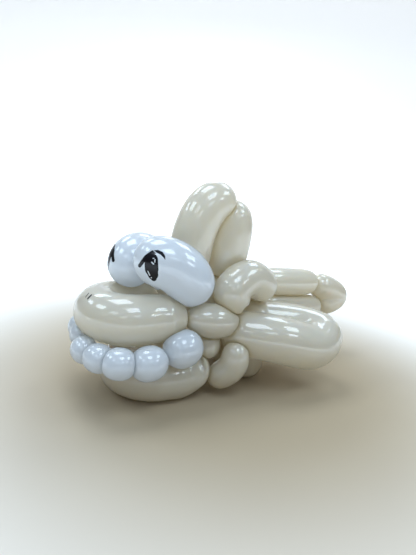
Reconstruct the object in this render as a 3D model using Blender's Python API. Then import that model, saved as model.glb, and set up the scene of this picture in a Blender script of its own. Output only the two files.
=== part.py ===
"""A balloon shark, twisted from long modelling balloons.

Millimetres in the values below, metres in the scene, +Z up. The nose points to -Y,
the tail to +Y and the shark's left side to +X. The origin is under the middle of the
whole, on the surface that it stands on.

Every bubble is a bent tube with round ends that runs from one twist to the next. Where
two bubbles press on each other, both go flat. One balloon is one object: its bubbles
are joined where they are twisted.
"""

import math

import bpy
import numpy as np

MM = 0.001

# Latex
ENDS_NARROWER = 0.07
OVAL_ENDS_NARROWER = 0.28
PRESS_ROUNDING = 3.0
FLOOR_ROUNDING = 0.8
GAP_BETWEEN_BALLOONS = 1.0
LAP_WITHIN_BALLOON = 1.0
TWIST_LAP = 1.6
FLAT_SPOT_DEPTH = 1.5

# Upper jaw: a U-bent snout, with a cheek bubble at each end
SNOUT_RADIUS = 23.5
SNOUT_HALF_WIDTH = 27.0
SNOUT_HEIGHT = 78.0
SNOUT_BEND_Y = -85.0
CHEEK_TWIST = (37.0, -44.0, 78.5)
CHEEK_RADIUS = 17.5
CHEEK_REAR = (44.0, 10.0, 71.0)

# Lower jaw: a wider, shorter U on the floor, with a small bubble behind each end
JAW_RADIUS = 22.0
JAW_HALF_WIDTH = 31.0
JAW_BEND_Y = -57.0
JAW_TWIST = (38.0, -20.0, 37.0)
JAW_SIDE_Y = -42.0
HINGE_RADIUS = 12.5
HINGE_TOP = (34.0, -14.0, 62.0)

# Eyes: one bean-shaped bubble each, from the brow down to the cheek
EYE_RADIUS = 24.5
EYE_PATH = ((8.0, -83.0, 123.0), (20.0, -73.0, 130.0), (30.0, -51.0, 122.0), (36.0, -28.0, 95.0))
RIGHT_EYE_PATH = ((-13.0, -83.0, 99.0), (-19.0, -76.0, 122.0), (-34.0, -54.0, 121.0), (-40.0, -33.0, 91.0))

# Teeth: place and radius of each bubble from the corner of the mouth to the middle. The places
# are from the snout's height, because the row hangs under the snout
TEETH = (
    ((50.0, -53.5, -22.5), 17.8),
    ((54.0, -88.0, -29.5), 15.8),
    ((48.0, -112.0, -28.5), 14.2),
    ((33.5, -124.5, -27.5), 13.0),
    ((12.0, -129.5, -27.5), 12.6),
)
RIGHT_TEETH_SHIFT = (2.0, 5.0, 6.0)

# Gills: a bean-shaped bubble behind each end of the lower jaw
GILL_RADIUS = 14.5
GILL_TOP = (56.5, 2.0, 56.0)
GILL_BEND = (54.5, 0.5, 31.5)
GILL_FRONT = (38.5, -12.0, 12.0)

# Shoulders: an arch over each fin's root
SHOULDER_RADIUS = 19.0
SHOULDER_PATH = ((40.0, 13.0, 82.0), (38.0, 4.0, 102.0), (33.0, 28.0, 113.0), (31.0, 58.0, 96.0))

# Pectoral fins: one long bubble each, folded in half at the tip
FIN_RADIUS = 25.0
FIN_LOWER_LIMB = ((33.0, 2.0, 61.0), (59.0, 45.0, 56.5), (69.0, 87.0, 46.5))
FIN_TIP = (62.0, 109.0, 53.0)
FIN_UPPER_LIMB = ((43.0, 95.0, 58.0), (31.0, 62.0, 63.0), (27.0, 30.0, 68.0))

# Dorsal fin: two bubbles that meet in a twist at the tip
DORSAL_FRONT_RADIUS = 21.8
DORSAL_REAR_RADIUS = 23.0
DORSAL_TIP = (0.0, 20.5, 186.5)
DORSAL_FRONT_PATH = ((0.0, -25.0, 105.0), (0.0, -21.5, 151.0), (0.0, -5.5, 181.0))
DORSAL_REAR_PATH = ((0.0, 23.0, 158.0), (0.0, 17.0, 106.0))

# Body: the back, with a belly bubble under each side of it
BACK_RADIUS = 22.0
BACK_PATH = ((0.0, -32.0, 84.0), (0.0, 20.0, 88.0), (0.0, 72.0, 90.0))
BELLY_RADIUS = 21.0
BELLY_TOP = (8.0, 30.0, 71.0)
BELLY_LEAN_Y = 44.0
BELLY_OUT_X = 21.0

# Tail: two bubbles one above the other, closed by a bent end bubble
TAIL_UPPER_RADIUS = 17.0
TAIL_LOWER_RADIUS = 15.5
TAIL_END_RADIUS = 17.5
TAIL_UPPER_ROOT = (0.0, 70.0, 100.0)
TAIL_UPPER_TWIST = (0.0, 159.0, 95.0)
TAIL_LOWER_ROOT = (0.0, 74.0, 73.0)
TAIL_LOWER_TWIST = (0.0, 172.0, 63.0)
TAIL_END_BEND = (0.0, 201.0, 76.0)

# Facets
AXIS_SAMPLES = 31
SIDES = 14

# How a bubble's skin is searched for along its rays
REACH_MARGIN = 1.2
NEIGHBOUR_MARGIN = 2.0
RAY_STEPS = 24
BISECTIONS = 16

IVORY = (0.72, 0.70, 0.62)
WHITE = (0.80, 0.85, 0.90)


def mirrored(point):
    x, y, z = point
    return (-x, y, z)


def shifted(point, shift):
    return tuple(p + s for p, s in zip(point, shift))


def smooth_curve(points, steps=16):
    """Points along a Catmull-Rom curve through the given points."""
    p = np.array(points, float)
    p = np.vstack([2 * p[0] - p[1], p, 2 * p[-1] - p[-2]])
    t = np.linspace(0, 1, steps, endpoint=False)[:, None]
    curve = [
        0.5 * (2 * b + (c - a) * t + (2 * a - 5 * b + 4 * c - d) * t**2 + (3 * b - a - 3 * c + d) * t**3)
        for a, b, c, d in zip(p, p[1:], p[2:], p[3:])
    ]
    return np.vstack(curve + [p[-2:-1]])


class Bubble:
    """A bent tube with round ends, from twist to twist."""

    def __init__(self, points, radius, rings=10, sides=SIDES, straighten=0.0, folded=False, oval=False):
        self.radius = radius
        self.rings = rings
        self.sides = sides
        curve = smooth_curve(points)
        along = np.concatenate([[0], np.cumsum(np.linalg.norm(np.diff(curve, axis=0), axis=1))])
        length = along[-1]
        narrower = OVAL_ENDS_NARROWER if oval else ENDS_NARROWER
        end_radius = min(radius * (1 - narrower), length / 2)
        inset = max(end_radius - TWIST_LAP, 0)
        at = np.linspace(inset, length - inset, AXIS_SAMPLES)
        self.axis = np.stack([np.interp(at, along, curve[:, k]) for k in range(3)], axis=1)
        across = np.linspace(-1, 1, AXIS_SAMPLES)
        self.radii = end_radius + (radius - end_radius) * (1 - across ** (2 if oval else 4))
        # The surface is found along rays. In a tight bend they start nearer to the chord, so that
        # they don't cross, and in a folded bubble they start between its two limbs.
        share = np.linspace(0, 1, AXIS_SAMPLES)[:, None]
        if folded:
            root, tip = (self.axis[0] + self.axis[-1]) / 2, self.axis[AXIS_SAMPLES // 2]
            self.ray_line = root * (1 - share) + tip * share
        else:
            chord = self.axis[0] * (1 - share) + self.axis[-1] * share
            self.ray_line = self.axis * (1 - straighten) + chord * straighten
        offset = max(np.linalg.norm(self.ray_line - point, axis=1).min() for point in self.axis)
        self.reach = REACH_MARGIN * (radius + offset)

    def distance(self, points):
        """Signed distance from each point to the round, unpressed tube."""
        start, end = self.axis[:-1], self.axis[1:]
        step = end - start
        size = np.maximum((step**2).sum(axis=1), 1e-9)
        away = points[:, None, :] - start
        share = np.clip((away * step).sum(axis=2) / size, 0, 1)
        nearest = away - share[:, :, None] * step
        radii = self.radii[:-1] + share * np.diff(self.radii)
        return (np.linalg.norm(nearest, axis=2) - radii).min(axis=1)

    def rays(self, vertices):
        """Where each vertex of a unit sphere starts on the axis, and its way out."""
        tangents = np.gradient(self.ray_line, axis=0)
        tangents /= np.maximum(np.linalg.norm(tangents, axis=1), 1e-9)[:, None]
        if np.linalg.norm(tangents[0]) < 0.5:
            tangents[:] = (0, 0, 1)
        # The first column of facets starts half a facet off, so that one facet faces straight down.
        level = np.cross(tangents[0], (0.0, -0.04, 1.0))
        level /= np.linalg.norm(level)
        turn = math.pi / self.sides
        side = level * math.cos(turn) + np.cross(tangents[0], level) * math.sin(turn)
        sides = []
        for tangent in tangents:
            side = side - tangent * side.dot(tangent)
            side /= np.linalg.norm(side)
            sides.append(side)
        sides = np.array(sides)
        ups = np.cross(tangents, sides)
        place = (vertices[:, 2] + 1) / 2 * (AXIS_SAMPLES - 1)
        numbers = np.arange(AXIS_SAMPLES)

        def read(values):
            return np.stack([np.interp(place, numbers, values[:, k]) for k in range(3)], axis=1)

        out = read(sides) * vertices[:, :1] + read(ups) * vertices[:, 1:2] + read(tangents) * vertices[:, 2:]
        return read(self.ray_line), out / np.linalg.norm(out, axis=1)[:, None]


def soft_max(a, b, rounding):
    near = np.maximum(rounding - np.abs(a - b), 0) / rounding
    return np.maximum(a, b) + near**2 * rounding / 4


def pressed_distance(bubble, neighbours, points):
    """Signed distance to the bubble after its neighbours and the floor have pressed it flat."""
    own = bubble.distance(points)
    result = own
    for other, gap in neighbours:
        result = soft_max(result, own - other.distance(points) + gap, PRESS_ROUNDING)
    return soft_max(result, -points[:, 2], FLOOR_ROUNDING)


def inflate(name, bubble, neighbours, shift):
    """A sphere primitive blown up into the bubble."""
    bpy.ops.mesh.primitive_uv_sphere_add(segments=bubble.sides, ring_count=bubble.rings)
    obj = bpy.context.object
    obj.name = name
    obj.data.name = name
    sphere = np.array([vertex.co[:] for vertex in obj.data.vertices])
    start, out = bubble.rays(sphere)
    near_enough = bubble.radius + NEIGHBOUR_MARGIN
    close = [(other, gap) for other, gap in neighbours if other.distance(bubble.axis).min() < near_enough]
    stride = bubble.reach / RAY_STEPS
    near = np.zeros(len(sphere))
    leaving = np.zeros(len(sphere), bool)
    for step in range(1, RAY_STEPS + 1):
        leaving |= pressed_distance(bubble, close, start + out * stride * step) > 0
        near = np.where(leaving, near, stride * step)
    far = near + stride
    for _ in range(BISECTIONS):
        middle = (near + far) / 2
        inside = pressed_distance(bubble, close, start + out * middle[:, None]) < 0
        near = np.where(inside, middle, near)
        far = np.where(inside, far, middle)
    surface = (start + out * near[:, None] - shift) * MM
    for vertex, place in zip(obj.data.vertices, surface):
        vertex.co = place
    obj.data.shade_smooth()
    return obj


def jaw_path(half_width, bend_y, height, twist, side_y):
    """Half of a U: from the twist along one side and round to the middle of the front."""
    turn = [math.radians(angle) for angle in (0, 30, 60, 90)]
    arc = [(half_width * math.cos(a), bend_y - half_width * math.sin(a), height) for a in turn]
    return [twist, (half_width + 1, side_y, height)] + arc


def both_halves(half):
    return half + [mirrored(point) for point in reversed(half[:-1])]


def upper_jaw():
    side_y = (CHEEK_TWIST[1] + SNOUT_BEND_Y) / 2
    snout = jaw_path(SNOUT_HALF_WIDTH, SNOUT_BEND_Y, SNOUT_HEIGHT, CHEEK_TWIST, side_y)
    cheek = [CHEEK_TWIST, CHEEK_REAR]
    return [
        Bubble(both_halves(snout), SNOUT_RADIUS, rings=26, sides=16),
        Bubble(cheek, CHEEK_RADIUS, rings=8, oval=True),
        Bubble([mirrored(point) for point in cheek], CHEEK_RADIUS, rings=8, oval=True),
    ]


def lower_jaw():
    height = JAW_RADIUS - FLAT_SPOT_DEPTH
    chin = jaw_path(JAW_HALF_WIDTH, JAW_BEND_Y, height, JAW_TWIST, JAW_SIDE_Y)
    hinge = [JAW_TWIST, HINGE_TOP]
    return [
        Bubble(both_halves(chin), JAW_RADIUS, rings=22, sides=16),
        Bubble(hinge, HINGE_RADIUS, rings=7, sides=10),
        Bubble([mirrored(point) for point in hinge], HINGE_RADIUS, rings=7, sides=10),
    ]


def eye(side):
    path = EYE_PATH if side == "left" else RIGHT_EYE_PATH
    return [Bubble(path, EYE_RADIUS, rings=14, sides=16)]


def teeth():
    left = [(shifted(place, (0.0, 0.0, SNOUT_HEIGHT)), radius) for place, radius in TEETH]
    right = [(shifted(mirrored(centre), RIGHT_TEETH_SHIFT), radius) for centre, radius in left]
    row = left + right[::-1]
    centres = np.array([centre for centre, _ in row])
    along = np.gradient(centres, axis=0)
    along /= np.linalg.norm(along, axis=1)[:, None]
    return [
        Bubble([centre - way * radius, centre + way * radius], radius, rings=8, sides=12)
        for (_, radius), centre, way in zip(row, centres, along)
    ]


def one_sided(side, points):
    return list(points) if side == "left" else [mirrored(point) for point in points]


def gill(side):
    path = one_sided(side, (GILL_TOP, GILL_BEND, GILL_FRONT))
    return [Bubble(path, GILL_RADIUS, rings=9)]


def shoulder(side):
    return [Bubble(one_sided(side, SHOULDER_PATH), SHOULDER_RADIUS, rings=12)]


def pectoral_fin(side):
    path = FIN_LOWER_LIMB + (FIN_TIP,) + FIN_UPPER_LIMB
    return [Bubble(one_sided(side, path), FIN_RADIUS, rings=16, sides=24, folded=True)]


def dorsal_fin():
    return [
        Bubble(DORSAL_FRONT_PATH + (DORSAL_TIP,), DORSAL_FRONT_RADIUS, rings=13, sides=16),
        Bubble((DORSAL_TIP,) + DORSAL_REAR_PATH, DORSAL_REAR_RADIUS, rings=11),
    ]


def body():
    belly_height = BELLY_RADIUS - FLAT_SPOT_DEPTH
    belly = [BELLY_TOP, (BELLY_OUT_X, BELLY_LEAN_Y, belly_height), (BELLY_OUT_X, BELLY_LEAN_Y, 0.0)]
    return [
        Bubble(BACK_PATH, BACK_RADIUS, rings=12),
        Bubble(belly, BELLY_RADIUS, rings=10),
        Bubble([mirrored(point) for point in belly], BELLY_RADIUS, rings=10),
    ]


def tail():
    return [
        Bubble([TAIL_UPPER_ROOT, TAIL_UPPER_TWIST], TAIL_UPPER_RADIUS, rings=9, sides=12),
        Bubble([TAIL_UPPER_TWIST, TAIL_END_BEND, TAIL_LOWER_TWIST], TAIL_END_RADIUS, rings=11, folded=True),
        Bubble([TAIL_LOWER_ROOT, TAIL_LOWER_TWIST], TAIL_LOWER_RADIUS, rings=9, sides=12),
    ]


def all_balloons():
    """Each balloon's name, with its bubbles and its colour."""
    return {
        "upper_jaw": (upper_jaw(), IVORY),
        "lower_jaw": (lower_jaw(), IVORY),
        "teeth": (teeth(), WHITE),
        "left_eye": (eye("left"), WHITE),
        "right_eye": (eye("right"), WHITE),
        "left_gill": (gill("left"), IVORY),
        "right_gill": (gill("right"), IVORY),
        "left_shoulder": (shoulder("left"), IVORY),
        "right_shoulder": (shoulder("right"), IVORY),
        "left_pectoral_fin": (pectoral_fin("left"), IVORY),
        "right_pectoral_fin": (pectoral_fin("right"), IVORY),
        "dorsal_fin": (dorsal_fin(), IVORY),
        "body": (body(), IVORY),
        "tail": (tail(), IVORY),
    }


def middle_of(bubbles):
    """The place under the middle of the whole, from the round tubes' extents."""
    low = np.min([(b.axis - b.radii[:, None]).min(axis=0) for b in bubbles], axis=0)
    high = np.max([(b.axis + b.radii[:, None]).max(axis=0) for b in bubbles], axis=0)
    middle = (low + high) / 2
    return np.array([middle[0], middle[1], 0.0])


def latex(name, colour):
    material = bpy.data.materials.new(name)
    material.use_nodes = True
    shader = material.node_tree.nodes["Principled BSDF"]
    shader.inputs["Base Color"].default_value = (*colour, 1.0)
    shader.inputs["Roughness"].default_value = 0.16
    shader.inputs["Metallic"].default_value = 0.0
    return material


def move_to(obj, collection):
    for old in list(obj.users_collection):
        old.objects.unlink(obj)
    collection.objects.link(obj)


def join_at_twists(first, others, hidden):
    """Joins a balloon's further bubbles to its first one."""
    for other in others:
        union = first.modifiers.new("Join " + other.name, "BOOLEAN")
        union.operation = "UNION"
        union.solver = "EXACT"
        union.object = other
        other.hide_render = True
        other.display_type = "WIRE"
        move_to(other, hidden)


def build():
    for obj in list(bpy.data.objects):
        bpy.data.objects.remove(obj)
    shark = bpy.data.collections.new("Balloon shark")
    hidden = bpy.data.collections.new("Joined bubbles")
    bpy.context.scene.collection.children.link(shark)
    bpy.context.scene.collection.children.link(hidden)
    balloons = all_balloons()
    everything = [(name, bubble) for name, (bubbles, _) in balloons.items() for bubble in bubbles]
    shift = middle_of([bubble for _, bubble in everything])
    for name, (bubbles, colour) in balloons.items():
        material = latex(name, colour)
        parts = []
        for number, bubble in enumerate(bubbles):
            neighbours = [
                (other, -LAP_WITHIN_BALLOON if owner == name else GAP_BETWEEN_BALLOONS)
                for owner, other in everything
                if other is not bubble
            ]
            part = inflate(name if number == 0 else f"{name}_{number}", bubble, neighbours, shift)
            part.data.materials.append(material)
            parts.append(part)
        move_to(parts[0], shark)
        join_at_twists(parts[0], parts[1:], hidden)


build()
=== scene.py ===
# %% [markdown]
# # A shark twisted from modelling balloons
#
# The real thing is latex and air. Each balloon is one long tube, blown up and twisted into
# bubbles, and each bubble is a bent sausage with round ends. Where two bubbles press on each
# other they go flat, and where the tube is twisted it gathers in short creases.
#
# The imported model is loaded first. It holds the true places and sizes, as coarse solids. This
# lesson blows the same bubbles again with a fine skin, and gives them the look of latex.

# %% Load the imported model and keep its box
import math

import bpy
import numpy as np
from mathutils import Matrix, Vector


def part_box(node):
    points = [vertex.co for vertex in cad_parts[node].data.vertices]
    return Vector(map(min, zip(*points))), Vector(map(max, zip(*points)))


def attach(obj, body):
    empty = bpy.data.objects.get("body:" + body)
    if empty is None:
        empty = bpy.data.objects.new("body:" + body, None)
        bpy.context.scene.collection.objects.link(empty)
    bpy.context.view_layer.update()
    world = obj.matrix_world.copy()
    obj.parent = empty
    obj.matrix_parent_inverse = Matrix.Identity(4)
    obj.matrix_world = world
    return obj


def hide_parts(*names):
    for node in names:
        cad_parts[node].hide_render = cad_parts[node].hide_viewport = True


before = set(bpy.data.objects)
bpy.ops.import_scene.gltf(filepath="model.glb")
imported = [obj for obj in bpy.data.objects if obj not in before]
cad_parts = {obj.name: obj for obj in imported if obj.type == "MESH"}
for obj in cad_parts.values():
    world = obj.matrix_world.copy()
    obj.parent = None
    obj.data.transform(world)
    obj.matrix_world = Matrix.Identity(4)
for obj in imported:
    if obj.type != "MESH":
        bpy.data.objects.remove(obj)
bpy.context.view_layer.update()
MM = 0.001

# %% [markdown]
# ## The camera
#
# The photograph was taken with a phone held level with the shark's left cheek, about 43 cm
# away. A phone's wide lens matches a 27 mm lens on a full-frame camera, and at that distance
# it makes the near fin and the snout look large. The phone was also turned a few degrees, so
# the camera gets a roll about its own view axis.

# %% Put the camera where the phone was
CAMERA_DISTANCE = 430 * MM
CAMERA_TURN = math.radians(55.7)
CAMERA_ELEVATION = math.radians(11.9)
CAMERA_ROLL = math.radians(5.5)
LOOK_AT = Vector((0.0, -38.2, 107.0)) * MM
LENS = 27.05
NEAREST_SEEN = 10 * MM

away = Vector((
    math.sin(CAMERA_TURN) * math.cos(CAMERA_ELEVATION),
    -math.cos(CAMERA_TURN) * math.cos(CAMERA_ELEVATION),
    math.sin(CAMERA_ELEVATION),
))
bpy.ops.object.camera_add(location=LOOK_AT + away * CAMERA_DISTANCE)
camera = bpy.context.object
camera.name = "phone_camera"
camera.data.lens = LENS
camera.data.clip_start = NEAREST_SEEN
view_axes = away.to_track_quat("Z", "Y").to_matrix() @ Matrix.Rotation(CAMERA_ROLL, 3, "Z")
camera.rotation_euler = view_axes.to_euler()
bpy.context.scene.camera = camera
bpy.context.scene.view_settings.view_transform = "Standard"
print("camera at", tuple(round(value, 3) for value in camera.location))

# %% [markdown]
# ## How a bubble is blown
#
# A bubble starts as Blender's own UV sphere. Every vertex is then pushed out along a ray from
# a line inside the bubble until it meets the skin. The skin is where three rules agree: the
# point is one radius from the bubble's bent axis, it is nearer to this bubble than to any
# other, and it is above the table. The second rule is what makes two pressed bubbles share a
# flat face, as soap bubbles do.

# %% A smooth curve through a few points
CURVE_STEPS = 16


def smooth_curve(points):
    """Points along a Catmull-Rom curve through the given points."""
    p = np.array(points, float)
    p = np.vstack([2 * p[0] - p[1], p, 2 * p[-1] - p[-2]])
    t = np.linspace(0, 1, CURVE_STEPS, endpoint=False)[:, None]
    curve = [
        0.5 * (2 * b + (c - a) * t + (2 * a - 5 * b + 4 * c - d) * t**2 + (3 * b - a - 3 * c + d) * t**3)
        for a, b, c, d in zip(p, p[1:], p[2:], p[3:])
    ]
    return np.vstack(curve + [p[-2:-1]])


def mirrored(point):
    x, y, z = point
    return (-x, y, z)


def shifted(point, shift):
    return tuple(p + s for p, s in zip(point, shift))


print("a curve through two points has", len(smooth_curve([(0, 0, 0), (1, 0, 0)])), "points")


# %% A bubble's axis and radius
ENDS_NARROWER = 0.07
OVAL_ENDS_NARROWER = 0.28
TUBE_POWER = 4
OVAL_POWER = 2
TWIST_LAP = 1.6
AXIS_SAMPLES = 31
REACH_MARGIN = 1.2
SEGMENTS = 56
RINGS = 44
TINY = 1e-9


class Bubble:
    """A bent tube with round ends, from twist to twist, in millimetres."""

    def __init__(self, points, radius, segments=SEGMENTS, rings=RINGS, folded=False, oval=False):
        self.radius = radius
        self.segments = segments
        self.rings = rings
        curve = smooth_curve(points)
        along = np.concatenate([[0], np.cumsum(np.linalg.norm(np.diff(curve, axis=0), axis=1))])
        length = along[-1]
        narrower = OVAL_ENDS_NARROWER if oval else ENDS_NARROWER
        end_radius = min(radius * (1 - narrower), length / 2)
        inset = max(end_radius - TWIST_LAP, 0)
        at = np.linspace(inset, length - inset, AXIS_SAMPLES)
        self.axis = np.stack([np.interp(at, along, curve[:, k]) for k in range(3)], axis=1)
        across = np.linspace(-1, 1, AXIS_SAMPLES)
        self.radii = end_radius + (radius - end_radius) * (1 - across ** (OVAL_POWER if oval else TUBE_POWER))
        if folded:
            share = np.linspace(0, 1, AXIS_SAMPLES)[:, None]
            root, tip = (self.axis[0] + self.axis[-1]) / 2, self.axis[AXIS_SAMPLES // 2]
            self.ray_line = root * (1 - share) + tip * share
        else:
            self.ray_line = self.axis
        offset = max(np.linalg.norm(self.ray_line - point, axis=1).min() for point in self.axis)
        self.reach = REACH_MARGIN * (radius + offset)
        # Each gathered place has its centre, the direction its star runs round, and its size.
        self.gathers = [(curve[0], self.axis[0] - curve[0], 1.0), (curve[-1], self.axis[-1] - curve[-1], 1.0)]

    def distance(self, points):
        """Signed distance from each point to the round, unpressed tube."""
        start = self.axis[:-1]
        step = np.diff(self.axis, axis=0)
        size = np.maximum((step**2).sum(axis=1), TINY)
        walked = points @ step.T - (start * step).sum(axis=1)
        share = np.clip(walked / size, 0, 1)
        squared = (points**2).sum(axis=1)[:, None] - 2 * points @ start.T + (start**2).sum(axis=1)
        squared += share * (share * size - 2 * walked)
        tube = np.sqrt(np.maximum(squared, 0)) - self.radii[:-1] - share * np.diff(self.radii)
        return tube.min(axis=1)


print("each bubble's axis has", AXIS_SAMPLES, "samples")

# %% [markdown]
# ## The shark's bubbles
#
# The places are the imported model's own, in millimetres, before the whole is centred. The
# shark's left side faces the camera. The right side is its mirror image, apart from the right
# eye and the right half of the tooth row, because no two twists come out quite alike. Each
# bubble also gets the size of its mesh: long and folded ones have more rings and segments.

# %% Jaws: two U-bent bubbles with small ones at their ends
SNOUT_RADIUS = 23.5
SNOUT_HALF_WIDTH = 27.0
SNOUT_HEIGHT = 78.0
SNOUT_BEND_Y = -85.0
CHEEK_TWIST = (37.0, -44.0, 78.5)
CHEEK_RADIUS = 17.5
CHEEK_REAR = (44.0, 10.0, 71.0)
JAW_RADIUS = 22.0
JAW_HALF_WIDTH = 31.0
JAW_BEND_Y = -57.0
JAW_TWIST = (38.0, -20.0, 37.0)
JAW_SIDE_Y = -42.0
HINGE_RADIUS = 12.5
HINGE_TOP = (34.0, -14.0, 62.0)
SIDE_BULGE = 1.0
FLAT_SPOT_DEPTH = 1.5
SNOUT_MESH = {"segments": 72, "rings": 120}
CHIN_MESH = {"segments": 64, "rings": 100}


def jaw_path(half_width, bend_y, height, twist, side_y):
    """A U from one twist round the front to the other."""
    turn = [math.radians(angle) for angle in (0, 30, 60, 90)]
    arc = [(half_width * math.cos(a), bend_y - half_width * math.sin(a), height) for a in turn]
    half = [twist, (half_width + SIDE_BULGE, side_y, height)] + arc
    return half + [mirrored(point) for point in reversed(half[:-1])]


def both_sides(path, radius, **how):
    return [Bubble(path, radius, **how), Bubble([mirrored(point) for point in path], radius, **how)]


snout_side_y = (CHEEK_TWIST[1] + SNOUT_BEND_Y) / 2
snout_path = jaw_path(SNOUT_HALF_WIDTH, SNOUT_BEND_Y, SNOUT_HEIGHT, CHEEK_TWIST, snout_side_y)
chin_path = jaw_path(JAW_HALF_WIDTH, JAW_BEND_Y, JAW_RADIUS - FLAT_SPOT_DEPTH, JAW_TWIST, JAW_SIDE_Y)
balloons = {
    "upper_jaw": [Bubble(snout_path, SNOUT_RADIUS, **SNOUT_MESH)]
    + both_sides([CHEEK_TWIST, CHEEK_REAR], CHEEK_RADIUS, oval=True),
    "lower_jaw": [Bubble(chin_path, JAW_RADIUS, **CHIN_MESH)]
    + both_sides([JAW_TWIST, HINGE_TOP], HINGE_RADIUS),
}
print("bubbles in the jaws:", sum(len(bubbles) for bubbles in balloons.values()))

# %% Eyes: one bean-shaped bubble each, from the brow down to the cheek
EYE_RADIUS = 24.5
EYE_PATH = ((8.0, -83.0, 123.0), (20.0, -73.0, 130.0), (30.0, -51.0, 122.0), (36.0, -28.0, 95.0))
RIGHT_EYE_PATH = ((-13.0, -83.0, 99.0), (-19.0, -76.0, 122.0), (-34.0, -54.0, 121.0), (-40.0, -33.0, 91.0))
BEAN_MESH = {"segments": 72, "rings": 72}

balloons["left_eye"] = [Bubble(EYE_PATH, EYE_RADIUS, **BEAN_MESH)]
balloons["right_eye"] = [Bubble(RIGHT_EYE_PATH, EYE_RADIUS, **BEAN_MESH)]
print("an eye's bubble is", 2 * EYE_RADIUS, "mm thick")

# %% Teeth: a chain of small round bubbles that hangs under the snout
# Each left tooth: its centre, with the height measured from the snout's middle, and its radius.
TEETH = (
    ((50.0, -53.5, -22.5), 17.8),
    ((54.0, -88.0, -29.5), 15.8),
    ((48.0, -112.0, -28.5), 14.2),
    ((33.5, -124.5, -27.5), 13.0),
    ((12.0, -129.5, -27.5), 12.6),
)
RIGHT_TEETH_SHIFT = (2.0, 5.0, 6.0)
TOOTH_MESH = {"segments": 56, "rings": 40}

left_teeth = [(shifted(place, (0.0, 0.0, SNOUT_HEIGHT)), radius) for place, radius in TEETH]
right_teeth = [(shifted(mirrored(centre), RIGHT_TEETH_SHIFT), radius) for centre, radius in left_teeth]
tooth_row = left_teeth + right_teeth[::-1]
centres = np.array([centre for centre, _ in tooth_row])
along_row = np.gradient(centres, axis=0)
along_row /= np.linalg.norm(along_row, axis=1)[:, None]
balloons["teeth"] = [
    Bubble([centre - way * radius, centre + way * radius], radius, **TOOTH_MESH)
    for (_, radius), centre, way in zip(tooth_row, centres, along_row)
]
print("teeth:", len(balloons["teeth"]))

# %% Gills and shoulders: a bean behind each corner of the mouth, and an arch over each fin's root
GILL_RADIUS = 14.5
GILL_PATH = ((56.5, 2.0, 56.0), (54.5, 0.5, 31.5), (38.5, -12.0, 12.0))
SHOULDER_RADIUS = 19.0
SHOULDER_PATH = ((40.0, 13.0, 82.0), (38.0, 4.0, 102.0), (33.0, 28.0, 113.0), (31.0, 58.0, 96.0))

left_gill, right_gill = both_sides(GILL_PATH, GILL_RADIUS)
left_shoulder, right_shoulder = both_sides(SHOULDER_PATH, SHOULDER_RADIUS, **BEAN_MESH)
balloons["left_gill"] = [left_gill]
balloons["right_gill"] = [right_gill]
balloons["left_shoulder"] = [left_shoulder]
balloons["right_shoulder"] = [right_shoulder]
print("balloons so far:", len(balloons))

# %% Fins: long bubbles folded in half at the tip, and a tall pair on the back
FIN_RADIUS = 25.0
FIN_LOWER_LIMB = ((33.0, 2.0, 61.0), (59.0, 45.0, 56.5), (69.0, 87.0, 46.5))
FIN_TIP = (62.0, 109.0, 53.0)
FIN_UPPER_LIMB = ((43.0, 95.0, 58.0), (31.0, 62.0, 63.0), (27.0, 30.0, 68.0))
DORSAL_FRONT_RADIUS = 21.8
DORSAL_REAR_RADIUS = 23.0
DORSAL_TIP = (0.0, 20.5, 186.5)
DORSAL_FRONT_PATH = ((0.0, -25.0, 105.0), (0.0, -21.5, 151.0), (0.0, -5.5, 181.0))
DORSAL_REAR_PATH = ((0.0, 23.0, 158.0), (0.0, 17.0, 106.0))
FIN_MESH = {"segments": 128, "rings": 90}
DORSAL_FRONT_MESH = {"segments": 72, "rings": 80}
DORSAL_REAR_MESH = {"segments": 64, "rings": 72}

fin_path = FIN_LOWER_LIMB + (FIN_TIP,) + FIN_UPPER_LIMB
left_fin, right_fin = both_sides(fin_path, FIN_RADIUS, folded=True, **FIN_MESH)
balloons["left_pectoral_fin"] = [left_fin]
balloons["right_pectoral_fin"] = [right_fin]
balloons["dorsal_fin"] = [
    Bubble(DORSAL_FRONT_PATH + (DORSAL_TIP,), DORSAL_FRONT_RADIUS, **DORSAL_FRONT_MESH),
    Bubble((DORSAL_TIP,) + DORSAL_REAR_PATH, DORSAL_REAR_RADIUS, **DORSAL_REAR_MESH),
]
print("balloons so far:", len(balloons))

# %% Body and tail: the back, two belly bubbles, and a closed loop of three bubbles
BACK_RADIUS = 22.0
BACK_PATH = ((0.0, -32.0, 84.0), (0.0, 20.0, 88.0), (0.0, 72.0, 90.0))
BELLY_RADIUS = 21.0
BELLY_TOP = (8.0, 30.0, 71.0)
BELLY_LEAN_Y = 44.0
BELLY_OUT_X = 21.0
TAIL_UPPER_RADIUS = 17.0
TAIL_LOWER_RADIUS = 15.5
TAIL_END_RADIUS = 17.5
TAIL_UPPER_ROOT = (0.0, 70.0, 100.0)
TAIL_UPPER_TWIST = (0.0, 159.0, 95.0)
TAIL_LOWER_ROOT = (0.0, 74.0, 73.0)
TAIL_LOWER_TWIST = (0.0, 172.0, 63.0)
TAIL_END_BEND = (0.0, 201.0, 76.0)
TAIL_END_SEGMENTS = 80

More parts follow.
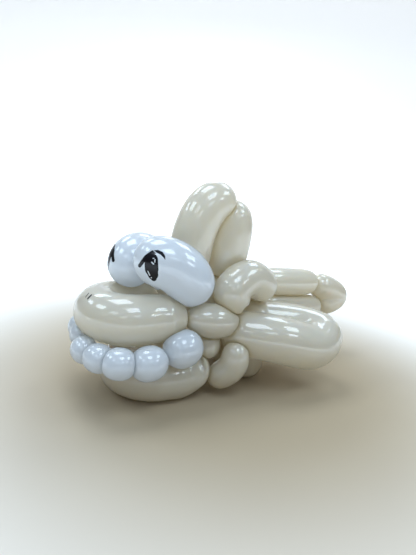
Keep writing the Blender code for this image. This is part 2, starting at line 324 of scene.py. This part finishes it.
belly_middle = (BELLY_OUT_X, BELLY_LEAN_Y, BELLY_RADIUS - FLAT_SPOT_DEPTH)
belly_path = [BELLY_TOP, belly_middle, (BELLY_OUT_X, BELLY_LEAN_Y, 0.0)]
tail_end_path = [TAIL_UPPER_TWIST, TAIL_END_BEND, TAIL_LOWER_TWIST]
balloons["body"] = [Bubble(BACK_PATH, BACK_RADIUS)] + both_sides(belly_path, BELLY_RADIUS)
balloons["tail"] = [
    Bubble([TAIL_UPPER_ROOT, TAIL_UPPER_TWIST], TAIL_UPPER_RADIUS),
    Bubble(tail_end_path, TAIL_END_RADIUS, segments=TAIL_END_SEGMENTS, folded=True),
    Bubble([TAIL_LOWER_ROOT, TAIL_LOWER_TWIST], TAIL_LOWER_RADIUS),
]
every_bubble = [(name, bubble) for name, bubbles in balloons.items() for bubble in bubbles]
print(len(every_bubble), "bubbles in", len(balloons), "balloons")

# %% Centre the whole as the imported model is
lowest = np.min([(b.axis - b.radii[:, None]).min(axis=0) for _, b in every_bubble], axis=0)
highest = np.max([(b.axis + b.radii[:, None]).max(axis=0) for _, b in every_bubble], axis=0)
middle = (lowest + highest) / 2 * (1, 1, 0)
print("middle of the whole, in mm:", middle.round(2))

# %% [markdown]
# ## Where the skin gathers
#
# A twist pulls the skin together like the neck of a sack, so fine creases run out from it in a
# star. Most twists are hidden between two bubbles. One shows: the tooth row bends at its second
# tooth, and the twist comes to the surface there. A tight bend gathers its inner side as well,
# which shows under each shoulder. Each bubble keeps a list of these places.

# %% Gathered places besides the hidden twists
SHOWN_TWIST = (64.8, -75.0, 50.6)
SHOWN_TWIST_FACES = (0.95, -0.3, -0.1)
SHOWN_TWIST_SIZE = 1.3
SHOULDER_FOLD = (41.0, 31.0, 93.0)
SHOULDER_FOLD_FACES = (0.47, -0.34, -0.82)
SHOULDER_FOLD_SIZE = 2.2

for tooth in balloons["teeth"][:2]:
    tooth.gathers = [(np.array(SHOWN_TWIST), np.array(SHOWN_TWIST_FACES), SHOWN_TWIST_SIZE)]
for shoulder, side in ((left_shoulder, tuple), (right_shoulder, mirrored)):
    fold, faces = side(SHOULDER_FOLD), side(SHOULDER_FOLD_FACES)
    shoulder.gathers.append((np.array(fold), np.array(faces), SHOULDER_FOLD_SIZE))
print("gathered places:", sum(len(bubble.gathers) for _, bubble in every_bubble))

# %% The skin of a pressed bubble
PRESS_ROUNDING = 2.0
FLOOR_ROUNDING = 0.8
SKIN_GAP = 0.15
SKIN_INSIDE = 0.7
# It sets where a sphere's seam lies: nearly upright, with a lean so that no bubble starts along it.
MERIDIAN_HINT = (0.0, -0.04, 1.0)


def soft_max(a, b, rounding):
    near = np.maximum(rounding - np.abs(a - b), 0) / rounding
    return np.maximum(a, b) + near**2 * rounding / 4


def pressed_distance(bubble, neighbours, points):
    own = bubble.distance(points)
    result = own + SKIN_INSIDE
    for other in neighbours:
        result = soft_max(result, own - other.distance(points) + SKIN_GAP, PRESS_ROUNDING)
    return soft_max(result, SKIN_INSIDE - points[:, 2], FLOOR_ROUNDING)


def rays_of(bubble, vertices):
    """Where each vertex of a unit sphere starts inside the bubble, and its way out."""
    tangents = np.gradient(bubble.ray_line, axis=0)
    tangents /= np.maximum(np.linalg.norm(tangents, axis=1), TINY)[:, None]
    side = np.cross(tangents[0], MERIDIAN_HINT)
    side /= np.linalg.norm(side)
    sides = []
    for tangent in tangents:
        side = side - tangent * side.dot(tangent)
        side /= np.linalg.norm(side)
        sides.append(side)
    sides = np.array(sides)
    ups = np.cross(tangents, sides)
    place = (vertices[:, 2] + 1) / 2 * (AXIS_SAMPLES - 1)
    numbers = np.arange(AXIS_SAMPLES)

    def read(values):
        return np.stack([np.interp(place, numbers, values[:, k]) for k in range(3)], axis=1)

    out = read(sides) * vertices[:, :1] + read(ups) * vertices[:, 1:2] + read(tangents) * vertices[:, 2:]
    return read(bubble.ray_line), out / np.linalg.norm(out, axis=1)[:, None]


print("pressed skins lie", SKIN_GAP, "mm apart, and free ones", SKIN_INSIDE, "mm inside their solids")


# %% Two marks that the skin keeps for its material: where its stars of creases run, and where painted crease shade goes
PAINTED_CREASE_REACH = 3.0
# Any direction that no star's axis runs along will do, to lay out the two across the star.
STAR_HINT = (0.31, 0.17, 0.93)


def from_gather(bubble, points):
    """Each point's place seen from the nearest gathered place: two across its star, one along."""
    best = np.full((len(points), 3), np.inf)
    for place, axis, size in bubble.gathers:
        axis = axis / np.linalg.norm(axis)
        side = np.cross(axis, STAR_HINT)
        side /= np.linalg.norm(side)
        seen = (points - place) @ np.stack([side, np.cross(axis, side), axis], axis=1) / size
        nearer = np.linalg.norm(seen, axis=1) < np.linalg.norm(best, axis=1)
        best[nearer] = seen[nearer]
    return best


def painted_crease_share(neighbours, points):
    """Where painted crease shade goes: one where the skin touches a neighbour, fading to nothing a few
    millimetres away.
    """
    shares = [np.exp(-np.maximum(other.distance(points), 0) / PAINTED_CREASE_REACH) for other in neighbours]
    return np.max(shares, axis=0)


# %% How far each ray runs, by steps and then by halving
RAY_STEPS = 22
BISECTIONS = 12


def ray_lengths(bubble, neighbours, start, out):
    stride = bubble.reach / RAY_STEPS
    near = np.zeros(len(out))
    leaving = np.zeros(len(out), bool)
    for step in range(1, RAY_STEPS + 1):
        leaving |= pressed_distance(bubble, neighbours, start + out * stride * step) > 0
        near = np.where(leaving, near, stride * step)
    far = near + stride
    for _ in range(BISECTIONS):
        half_way = (near + far) / 2
        inside = pressed_distance(bubble, neighbours, start + out * half_way[:, None]) < 0
        near = np.where(inside, half_way, near)
        far = np.where(inside, far, half_way)
    return near


# %% Blow one bubble up from a UV sphere
NEIGHBOUR_MARGIN = 2.0


def blow(name, bubble):
    """A UV sphere pushed out to the bubble's skin, with the two marks on its vertices."""
    bpy.ops.object.select_all(action="DESELECT")
    bpy.ops.mesh.primitive_uv_sphere_add(segments=bubble.segments, ring_count=bubble.rings)
    obj = bpy.context.object
    obj.name = name
    mesh = obj.data
    sphere = np.empty(len(mesh.vertices) * 3)
    mesh.vertices.foreach_get("co", sphere)
    start, out = rays_of(bubble, sphere.reshape(-1, 3))
    near_enough = bubble.radius + NEIGHBOUR_MARGIN
    others = [other for _, other in every_bubble if other is not bubble]
    close = [other for other in others if other.distance(bubble.axis).min() < near_enough]
    skin = start + out * ray_lengths(bubble, close, start, out)[:, None]
    mesh.vertices.foreach_set("co", ((skin - middle) * MM).ravel())
    star = mesh.attributes.new("from_gather", "FLOAT_VECTOR", "POINT")
    star.data.foreach_set("vector", from_gather(bubble, skin).astype(np.float32).ravel())
    # The "pressed" mark says how much painted crease shade the material mixes into the skin's colour.
    pressed = mesh.attributes.new("pressed", "FLOAT", "POINT")
    pressed.data.foreach_set("value", painted_crease_share(close, skin).astype(np.float32))
    mesh.update()
    bpy.ops.object.shade_smooth()
    return obj


# %% [markdown]
# ## Blowing all the balloons
#
# Each balloon is one piece: its bubbles are blown one by one and joined into one object, which
# then stands for the coarse solid of the same name.

# %% Blow every balloon and let it stand for its solid
WHITE_BALLOONS = ("teeth", "left_eye", "right_eye")
pieces = {}
for name, bubbles in balloons.items():
    parts = [blow(f"{name}_bubble_{number}", bubble) for number, bubble in enumerate(bubbles)]
    bpy.ops.object.select_all(action="DESELECT")
    for part in parts:
        part.select_set(True)
    bpy.context.view_layer.objects.active = parts[0]
    if len(parts) > 1:
        bpy.ops.object.join()
    piece = bpy.context.view_layer.objects.active
    piece.name = f"{name}_latex"
    pieces[name] = piece
    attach(piece, "root")
    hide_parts(name)
    low, high = np.array(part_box(name))
    skin = np.array([vertex.co[:] for vertex in piece.data.vertices])
    outside = max((low - skin.min(axis=0)).max(), (skin.max(axis=0) - high).max()) / MM
    print(f"{piece.name}: {len(piece.data.polygons)} faces, {outside:.1f} mm outside its solid's box")

# %% [markdown]
# ## Marker ink
#
# The eyes and nostrils are drawn on the blown balloons with a black marker, so they are colour
# only. Each drawing is a handful of strokes. A stroke runs from one point to another and its
# width changes on the way, as a pen's does. The strokes lie on a flat sheet in front of the
# skin, and the sheet is projected straight onto it. The shader works out how far each point of
# the skin is from the nearest stroke, so the edges stay crisp however near the camera comes.

# %% Colours and a helper for nodes
# A colour Mix node's sockets share their names, so they are taken by number.
FIRST_COLOUR = 6
SECOND_COLOUR = 7
MIXED_COLOUR = 2


def linear(hex_colour):
    """A shader colour from an sRGB hex value."""
    channels = [int(hex_colour[i : i + 2], 16) / 255 for i in (1, 3, 5)]
    return tuple(c / 12.92 if c <= 0.04045 else ((c + 0.055) / 1.055) ** 2.4 for c in channels) + (1.0,)


def add_node(material, kind, settings=(), inputs=(), links=()):
    """One node in a material or world, with its settings, plain inputs and linked inputs."""
    node = material.node_tree.nodes.new(kind)
    for key, value in dict(settings).items():
        setattr(node, key, value)
    for key, value in dict(inputs).items():
        node.inputs[key].default_value = value
    for key, socket in dict(links).items():
        material.node_tree.links.new(socket, node.inputs[key])
    return node


# %% The drawings: x, y and half width in millimetres at each turn of the pen
BROW = (
    (-11.2, 0.4, 1.6),
    (-5.0, 7.5, 2.0),
    (0.4, 11.4, 1.8),
    (4.6, 12.2, 1.3),
    (7.9, 10.6, 1.4),
    (10.0, 7.9, 1.0),
    (11.0, 5.2, 0.1),
)
PUPIL = ((-0.8, 5.0, 5.8), (-0.6, -2.5, 5.9), (0.3, -7.0, 4.6), (0.6, -10.0, 2.7))
GLINTS = (
    ((0.8, 6.3, 0.35), (1.7, 6.4, 0.35)),
    ((2.5, 5.3, 0.4), (2.3, 3.3, 0.45)),
    ((-0.3, 3.1, 0.5), (1.2, 1.7, 0.55)),
    ((-3.9, -4.3, 0.35), (-2.6, -7.6, 0.45)),
    ((-1.5, -9.6, 0.35), (-1.2, -9.9, 0.35)),
    ((1.2, 12.9, 0.25), (5.0, 9.6, 0.3)),
)
NOSTRILS = (((-2.6, -1.0, 0.4), (-1.0, 2.1, 0.45)), ((0.3, -2.1, 0.75), (2.6, 0.7, 0.7)))

eye_strokes = list(zip(BROW, BROW[1:])) + list(zip(PUPIL, PUPIL[1:]))
print(len(eye_strokes), "strokes and", len(GLINTS), "bare glints for each eye")


# %% Where each drawing's sheet is
LEFT_EYE_MARK = (39.7, -84.3, 129.1)
NOSTRIL_MARK = (5.2, -126.0, 96.6)
RIGHT_EYE_MARK = (-21.8, -97.0, 123.8)
RIGHT_EYE_SHEET_TURN = math.radians(-10.0)


def sheet(centre, axes):
    """Mapping inputs that take object coordinates, in metres, to millimetres on a sheet."""
    to_centre = axes @ (Vector(centre) - Vector(middle))
    return {"Location": -to_centre, "Rotation": axes.to_euler(), "Scale": (1 / MM, 1 / MM, 1 / MM)}


facing = Vector((math.sin(RIGHT_EYE_SHEET_TURN), -math.cos(RIGHT_EYE_SHEET_TURN), 0.0))
upward = Vector((0.0, 0.0, 1.0))
left_eye_sheet = sheet(LEFT_EYE_MARK, view_axes.transposed())
nostril_sheet = sheet(NOSTRIL_MARK, view_axes.transposed())
right_eye_sheet = sheet(RIGHT_EYE_MARK, Matrix((upward.cross(facing), upward, facing)))


# %% The distance from a point of the sheet to one stroke
def stroke_distance(material, place, stroke):
    (ax, ay, a_half), (bx, by, b_half) = stroke
    way = Vector((bx - ax, by - ay, 0))
    from_start = add_node(
        material, "ShaderNodeVectorMath", {"operation": "SUBTRACT"}, {1: (ax, ay, 0)}, {0: place}
    ).outputs["Vector"]
    walked = add_node(
        material,
        "ShaderNodeVectorMath",
        {"operation": "DOT_PRODUCT"},
        {1: way / way.length_squared},
        {0: from_start},
    ).outputs["Value"]
    share = add_node(material, "ShaderNodeClamp", links={"Value": walked}).outputs[0]
    nearest = add_node(
        material, "ShaderNodeVectorMath", {"operation": "SCALE"}, {0: way}, {"Scale": share}
    ).outputs["Vector"]
    across = add_node(
        material, "ShaderNodeVectorMath", {"operation": "DISTANCE"}, links={0: from_start, 1: nearest}
    ).outputs["Value"]
    half_width = add_node(
        material,
        "ShaderNodeMath",
        {"operation": "MULTIPLY_ADD"},
        {1: b_half - a_half, 2: a_half},
        {0: share},
    ).outputs[0]
    edge = add_node(material, "ShaderNodeMath", {"operation": "SUBTRACT"}, links={0: across, 1: half_width})
    return edge.outputs[0]


def drawing_distance(material, place, strokes):
    """The distance to the nearest of several strokes, below zero where there is ink."""
    nearest = stroke_distance(material, place, strokes[0])
    for stroke in strokes[1:]:
        other = stroke_distance(material, place, stroke)
        smaller = add_node(material, "ShaderNodeMath", {"operation": "MINIMUM"}, links={0: nearest, 1: other})
        nearest = smaller.outputs[0]
    return nearest


# %% How much ink is on the skin, from 0 to 1
INK_EDGE = 0.14
SHEET_DEPTH = 13.0


def ink_amount(material, mapping, flip, strokes, glints):
    place = add_node(material, "ShaderNodeTexCoord")
    seen = add_node(material, "ShaderNodeMapping", inputs=mapping, links={"Vector": place.outputs["Object"]})
    flat = add_node(
        material,
        "ShaderNodeVectorMath",
        {"operation": "MULTIPLY"},
        {1: (flip, 1.0, 0.0)},
        {0: seen.outputs["Vector"]},
    ).outputs["Vector"]
    parts = add_node(material, "ShaderNodeSeparateXYZ", links={"Vector": seen.outputs["Vector"]})
    behind = add_node(
        material, "ShaderNodeMath", {"operation": "SUBTRACT"}, {0: -SHEET_DEPTH}, {1: parts.outputs["Z"]}
    ).outputs[0]
    inked = drawing_distance(material, flat, strokes)
    if glints:
        bare = drawing_distance(material, flat, glints)
        kept = add_node(material, "ShaderNodeMath", {"operation": "MULTIPLY"}, {1: -1.0}, {0: bare})
        joined = {0: inked, 1: kept.outputs[0]}
        inked = add_node(material, "ShaderNodeMath", {"operation": "MAXIMUM"}, links=joined).outputs[0]
    near = add_node(material, "ShaderNodeMath", {"operation": "MAXIMUM"}, links={0: inked, 1: behind})
    inked = near.outputs[0]
    edges = {"From Min": INK_EDGE, "From Max": -INK_EDGE}
    return add_node(material, "ShaderNodeMapRange", inputs=edges, links={"Value": inked}).outputs["Result"]


# %% [markdown]
# ## Latex
#
# Blown latex is a thin, smooth, slightly see-through skin. It shines like a wet pebble, and
# light that enters it wanders before it leaves, so shadows are soft and creases glow warm. Where
# bubbles press together the skin is also given a darker, warmer colour, which is painted shade.
# The sharp reflections come from a clear coat over a softer base, which gives the silky look of
# balloon latex. The coat's index of refraction is set higher than that of latex, 1.52, because
# the light that is let through the skin is taken from its shine as well. The creases round a
# twist are too fine for the mesh, so they are a bump that runs out from each gathered place. Real
# ones are finer than a pixel of the picture, so they are drawn wider and deeper than life.

# %% Fine creases round the gathered places
STAR_CREASE_HEIGHT = 0.4 * MM
STAR_START = 1.0
STAR_REACH = 8.0
STAR_NOISE = {"Scale": 3.0, "Detail": 1.0, "Roughness": 0.6}
FOLD_LOW = 0.38
FOLD_HIGH = 0.62


def crease_normal(material):
    gather = add_node(material, "ShaderNodeAttribute", {"attribute_name": "from_gather"}).outputs["Vector"]
    across = add_node(
        material, "ShaderNodeVectorMath", {"operation": "MULTIPLY"}, {1: (1.0, 1.0, 0.0)}, {0: gather}
    ).outputs["Vector"]
    heading = add_node(
        material, "ShaderNodeVectorMath", {"operation": "NORMALIZE"}, links={0: across}
    ).outputs["Vector"]
    streaks = add_node(
        material,
        "ShaderNodeTexNoise",
        inputs=STAR_NOISE,
        links={"Vector": heading},
    )
    folds = add_node(
        material,
        "ShaderNodeMapRange",
        inputs={"From Min": FOLD_LOW, "From Max": FOLD_HIGH},
        links={"Value": streaks.outputs["Fac"]},
    ).outputs["Result"]
    how_far = add_node(material, "ShaderNodeVectorMath", {"operation": "LENGTH"}, links={0: gather})
    fading = add_node(
        material,
        "ShaderNodeMapRange",
        {"interpolation_type": "SMOOTHSTEP"},
        {"From Min": STAR_START, "From Max": STAR_REACH, "To Min": 1.0, "To Max": 0.0},
        {"Value": how_far.outputs["Value"]},
    ).outputs["Result"]
    height = add_node(material, "ShaderNodeMath", {"operation": "MULTIPLY"}, links={0: folds, 1: fading})
    bump = add_node(
        material,
        "ShaderNodeBump",
        inputs={"Strength": 1.0, "Distance": STAR_CREASE_HEIGHT},
        links={"Height": height.outputs[0]},
    )
    return bump.outputs["Normal"]


# %% Blown latex, ivory or white, with or without a drawing
MARKER_INK = "#0C0A10"
# How strongly the painted crease shade is mixed in where bubbles press on each other.
PAINTED_CREASE_SHADE = 0.6
SKIN_ROUGHNESS = 0.33
SHINE_ROUGHNESS = 0.035
SEE_INTO = 0.35
LIGHT_WANDERS = 8 * MM
LIGHT_THROUGH = 0.42
LATEX_IOR = 1.52
SHINE_IOR = 1.9
PLAIN_SPECULAR = 0.5
INK_SHINE = 0.2


def without_ink(material, ink, bare_value, inked_value):
    """A value for bare skin that changes to another under the ink."""
    values = {"To Min": bare_value, "To Max": inked_value}
    return add_node(material, "ShaderNodeMapRange", inputs=values, links={"Value": ink}).outputs["Result"]


def blown_latex(name, skin, painted_crease_colour, light_path, drawing=None):
    material = bpy.data.materials.new(name)
    material.use_nodes = True
    shader = material.node_tree.nodes["Principled BSDF"]
    # Painted shade: the skin's colour is mixed towards a darker, warmer crease colour where it touches a
    # neighbour.
    pressed = add_node(material, "ShaderNodeAttribute", {"attribute_name": "pressed"}).outputs["Fac"]
    share = add_node(
        material, "ShaderNodeMath", {"operation": "MULTIPLY"}, {1: PAINTED_CREASE_SHADE}, {0: pressed}
    ).outputs[0]
    colour = add_node(
        material,
        "ShaderNodeMix",
        {"data_type": "RGBA"},
        {FIRST_COLOUR: linear(skin), SECOND_COLOUR: linear(painted_crease_colour)},
        {0: share},
    ).outputs[MIXED_COLOUR]
    normal = crease_normal(material)
    material.node_tree.links.new(normal, shader.inputs["Normal"])
    material.node_tree.links.new(normal, shader.inputs["Coat Normal"])
    shader.inputs["Roughness"].default_value = SKIN_ROUGHNESS
    shader.inputs["IOR"].default_value = LATEX_IOR
    shader.inputs["Coat Weight"].default_value = 1.0
    shader.inputs["Coat IOR"].default_value = SHINE_IOR
    shader.inputs["Coat Roughness"].default_value = SHINE_ROUGHNESS
    shader.inputs["Subsurface Weight"].default_value = SEE_INTO
    shader.inputs["Subsurface Radius"].default_value = light_path
    shader.inputs["Subsurface Scale"].default_value = LIGHT_WANDERS
    # A balloon is hollow, so part of the light that lands on it comes out on its far side.
    through = add_node(material, "ShaderNodeBsdfTranslucent", links={"Normal": normal})
    surface = add_node(
        material,
        "ShaderNodeMixShader",
        inputs={0: LIGHT_THROUGH},
        links={1: shader.outputs["BSDF"], 2: through.outputs["BSDF"]},
    )
    output = material.node_tree.nodes["Material Output"]
    material.node_tree.links.new(surface.outputs["Shader"], output.inputs["Surface"])
    if drawing:
        ink = ink_amount(material, *drawing)
        colour = add_node(
            material,
            "ShaderNodeMix",
            {"data_type": "RGBA"},
            {SECOND_COLOUR: linear(MARKER_INK)},
            {0: ink, FIRST_COLOUR: colour},
        ).outputs[MIXED_COLOUR]
        inked_values = (
            (shader.inputs["Subsurface Weight"], SEE_INTO, 0.0),
            (shader.inputs["Specular IOR Level"], PLAIN_SPECULAR, PLAIN_SPECULAR * INK_SHINE),
            (shader.inputs["Coat Weight"], 1.0, INK_SHINE),
            (surface.inputs[0], LIGHT_THROUGH, 0.0),
        )
        for socket, bare_value, inked_value in inked_values:
            value = without_ink(material, ink, bare_value, inked_value)
            material.node_tree.links.new(value, socket)
    material.node_tree.links.new(colour, shader.inputs["Base Color"])
    material.node_tree.links.new(colour, through.inputs["Color"])
    return material


# %% Dress every balloon
# Each balloon colour: the skin's own colour, the painted crease shade colour where bubbles press, and how far
# light wanders in each channel.
IVORY = ("#E8E1D0", "#D6C8A2", (1.0, 0.82, 0.55))
WHITE = ("#E9EDF1", "#DCDFE1", (0.9, 0.95, 1.0))

ivory_latex = blown_latex("ivory_blown_latex", *IVORY)
white_latex = blown_latex("white_blown_latex", *WHITE)
own_latex = {
    "upper_jaw": blown_latex("ivory_latex_with_nostrils", *IVORY, (nostril_sheet, 1.0, NOSTRILS, ())),
    "left_eye": blown_latex("white_latex_left_eye", *WHITE, (left_eye_sheet, 1.0, eye_strokes, GLINTS)),
    "right_eye": blown_latex("white_latex_right_eye", *WHITE, (right_eye_sheet, -1.0, eye_strokes, GLINTS)),
}
for name, piece in pieces.items():
    latex = own_latex.get(name, white_latex if name in WHITE_BALLOONS else ivory_latex)
    piece.data.materials.clear()
    piece.data.materials.append(latex)
    print(piece.name, "is", latex.name)

# %% [markdown]
# ## Light and floor
#
# The photograph was taken under a grid of square ceiling panels. Every bubble is a small convex
# mirror and shows several of them, so where the bright patches sit on the round bubbles tells
# where the panels are: about 1.2 m apart and 1.3 m above the shark. The three behind the phone
# show fainter than the rest, so they get less power. The room itself is dimmer, pale above and
# darker below, which leaves the undersides in shade.

# %% A grid of ceiling panels
PANEL_SIZE = 0.6
PANEL_HEIGHT = 1.4
PANEL_POWER = 6.8
BEHIND_PHONE = ((1, -1), (2, -1), (2, 0))
BEHIND_PHONE_SHARE = 0.45
FIRST_PANEL = (-0.364, -0.203)
PANEL_SPACING = (1.157, 1.222)
PANEL_COLUMNS = range(-1, 3)
PANEL_ROWS = range(-1, 2)
TINTS = ("#E4F1FF", "#DEEEFF", "#E2F5FF")

for column in PANEL_COLUMNS:
    for row in PANEL_ROWS:
        x = FIRST_PANEL[0] + PANEL_SPACING[0] * column
        y = FIRST_PANEL[1] + PANEL_SPACING[1] * row
        bpy.ops.object.light_add(type="AREA", location=(x, y, PANEL_HEIGHT))
        panel = bpy.context.object
        panel.name = f"ceiling_panel_{column + 1}_{row + 1}"
        panel.data.shape = "SQUARE"
        panel.data.size = PANEL_SIZE
        panel.data.energy = PANEL_POWER * (BEHIND_PHONE_SHARE if (column, row) in BEHIND_PHONE else 1.0)
        panel.data.color = linear(TINTS[(column + row) % len(TINTS)])[:3]

# %% The room, from floor to ceiling
ROOM_LIGHT = 0.6
# The share of the way from straight down to straight up, and the colour there.
ROOM_BELOW = (0.42, "#66563F")
ROOM_LEVEL = (0.62, "#8F9091")
ROOM_ABOVE = (0.85, "#C3DDF8")

world = bpy.data.worlds.new("pale_room")
bpy.context.scene.world = world
world.use_nodes = True
direction = add_node(world, "ShaderNodeTexCoord").outputs["Generated"]
height = add_node(world, "ShaderNodeSeparateXYZ", links={"Vector": direction}).outputs["Z"]
share = add_node(world, "ShaderNodeMapRange", inputs={"From Min": -1.0}, links={"Value": height})
room = add_node(world, "ShaderNodeValToRGB", links={"Fac": share.outputs["Result"]})
below, level = room.color_ramp.elements
below.position = ROOM_BELOW[0]
below.color = linear(ROOM_BELOW[1])
level.position = ROOM_LEVEL[0]
level.color = linear(ROOM_LEVEL[1])
above = room.color_ramp.elements.new(ROOM_ABOVE[0])
above.color = linear(ROOM_ABOVE[1])
background = world.node_tree.nodes["Background"]
world.node_tree.links.new(room.outputs["Color"], background.inputs["Color"])
background.inputs["Strength"].default_value = ROOM_LIGHT
print("the room's ramp has", len(room.color_ramp.elements), "colours")


# %% A floor with a painted warm shadow under the shark that pales away from it, and a backdrop
# Painted shadow: the floor is darker and warm under the shark and pales to a glowing white further out.
FLOOR_PAINTED_SHADOW = "#A8977C"
FLOOR_FAR = "#F4F4F3"
PAINTED_SHADOW_INNER = 0.12
PAINTED_SHADOW_OUTER = 0.55
FAR_GLOW = 0.45
FLOOR_SIZE = 9.0
FLOOR_ROUGHNESS = 0.9
BACKDROP_SIZE = 6.0
BACKDROP_HEIGHT = 1.5
BACKDROP_DISTANCE = 3.0


def stage_plane(name, size, place, turn):
    bpy.ops.object.select_all(action="DESELECT")
    bpy.ops.mesh.primitive_plane_add(size=size, location=place, rotation=turn)
    plane = bpy.context.object
    plane.name = name
    paint = bpy.data.materials.new(name + "_paint")
    paint.use_nodes = True
    shader = paint.node_tree.nodes["Principled BSDF"]
    shader.inputs["Base Color"].default_value = linear(FLOOR_FAR)
    shader.inputs["Roughness"].default_value = FLOOR_ROUGHNESS
    shader.inputs["Emission Color"].default_value = linear(FLOOR_FAR)
    shader.inputs["Emission Strength"].default_value = FAR_GLOW
    plane.data.materials.append(paint)
    return paint


floor_paint = stage_plane("floor", FLOOR_SIZE, (0, 0, 0), (0, 0, 0))
place = add_node(floor_paint, "ShaderNodeTexCoord").outputs["Object"]
from_middle = add_node(floor_paint, "ShaderNodeVectorMath", {"operation": "LENGTH"}, links={0: place})
painted_shadow_fade = add_node(
    floor_paint,
    "ShaderNodeMapRange",
    {"interpolation_type": "SMOOTHSTEP"},
    {"From Min": PAINTED_SHADOW_INNER, "From Max": PAINTED_SHADOW_OUTER},
    {"Value": from_middle.outputs["Value"]},
).outputs["Result"]
floor_colour = add_node(
    floor_paint,
    "ShaderNodeMix",
    {"data_type": "RGBA"},
    {FIRST_COLOUR: linear(FLOOR_PAINTED_SHADOW), SECOND_COLOUR: linear(FLOOR_FAR)},
    {0: painted_shadow_fade},
).outputs[MIXED_COLOUR]
# The floor's glow is held back inside the painted shadow and comes in as the shadow pales.
glow = add_node(floor_paint, "ShaderNodeMath", {"operation": "MULTIPLY"}, {1: FAR_GLOW}, {0: painted_shadow_fade})
floor_shader = floor_paint.node_tree.nodes["Principled BSDF"]
floor_paint.node_tree.links.new(floor_colour, floor_shader.inputs["Base Color"])
floor_paint.node_tree.links.new(glow.outputs[0], floor_shader.inputs["Emission Strength"])
behind_shark = LOOK_AT - Vector((away.x, away.y, 0.0)) * BACKDROP_DISTANCE
backdrop_place = (behind_shark.x, behind_shark.y, BACKDROP_HEIGHT)
stage_plane("backdrop", BACKDROP_SIZE, backdrop_place, (math.pi / 2, 0, CAMERA_TURN))
print("floor and backdrop are", FLOOR_SIZE, "and", BACKDROP_SIZE, "m wide")
